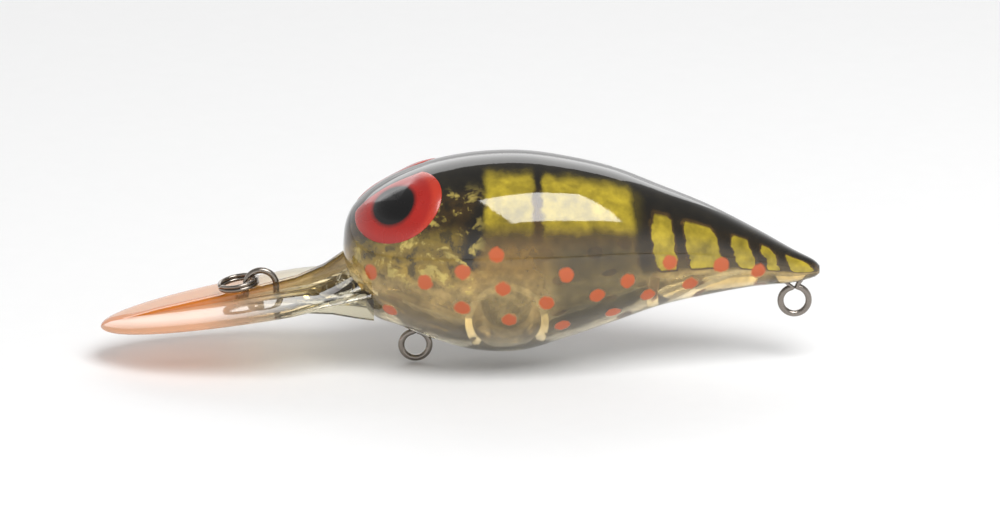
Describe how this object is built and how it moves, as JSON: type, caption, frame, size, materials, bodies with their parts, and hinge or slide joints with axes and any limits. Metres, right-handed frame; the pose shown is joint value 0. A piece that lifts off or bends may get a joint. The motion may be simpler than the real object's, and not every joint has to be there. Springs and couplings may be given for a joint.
{
  "type": "crankbait lure",
  "caption": "Deep-diving crankbait: clear hollow body in two welded halves with a long lip, moulded eyes, wire line tie with split ring, belly and tail hook eyes and a loose rattle ball.",
  "frame": {"origin": "middle of the line tie's wire arch, on top of the lip's spine, in the plane where the halves meet", "axes": "+X from the lip towards the tail, along the body; +Y across the body; +Z from the belly towards the back"},
  "size_m": [0.0771, 0.0196, 0.0232],
  "materials": {
    "clear_shell": "clear moulded plastic, painted olive, yellow and black",
    "eye": "glossy red with a black pupil",
    "wire": "drawn stainless wire",
    "ball": "plain steel ball"
  },
  "bodies": {
    "body": {"shell_left": "clear_shell", "shell_right": "clear_shell", "eye_left": "eye", "eye_right": "eye", "line_tie_eye": "wire", "belly_hook_eye": "wire", "tail_hook_eye": "wire"},
    "ring": {"split_ring": "wire"},
    "ball": {"rattle_ball": "ball"}
  },
  "joints": [
    {"name": "ring_swing", "type": "hinge", "parent": "body", "child": "ring", "pos_m": [-0.00042, 0, 0.00058], "axis": [0, 1, 0], "range_deg": [0, 150]},
    {"name": "ball_roll", "type": "slide", "parent": "body", "child": "ball", "axis": [0, 1, 0], "range_m": [-0.0022, 0.0022]}
  ]
}
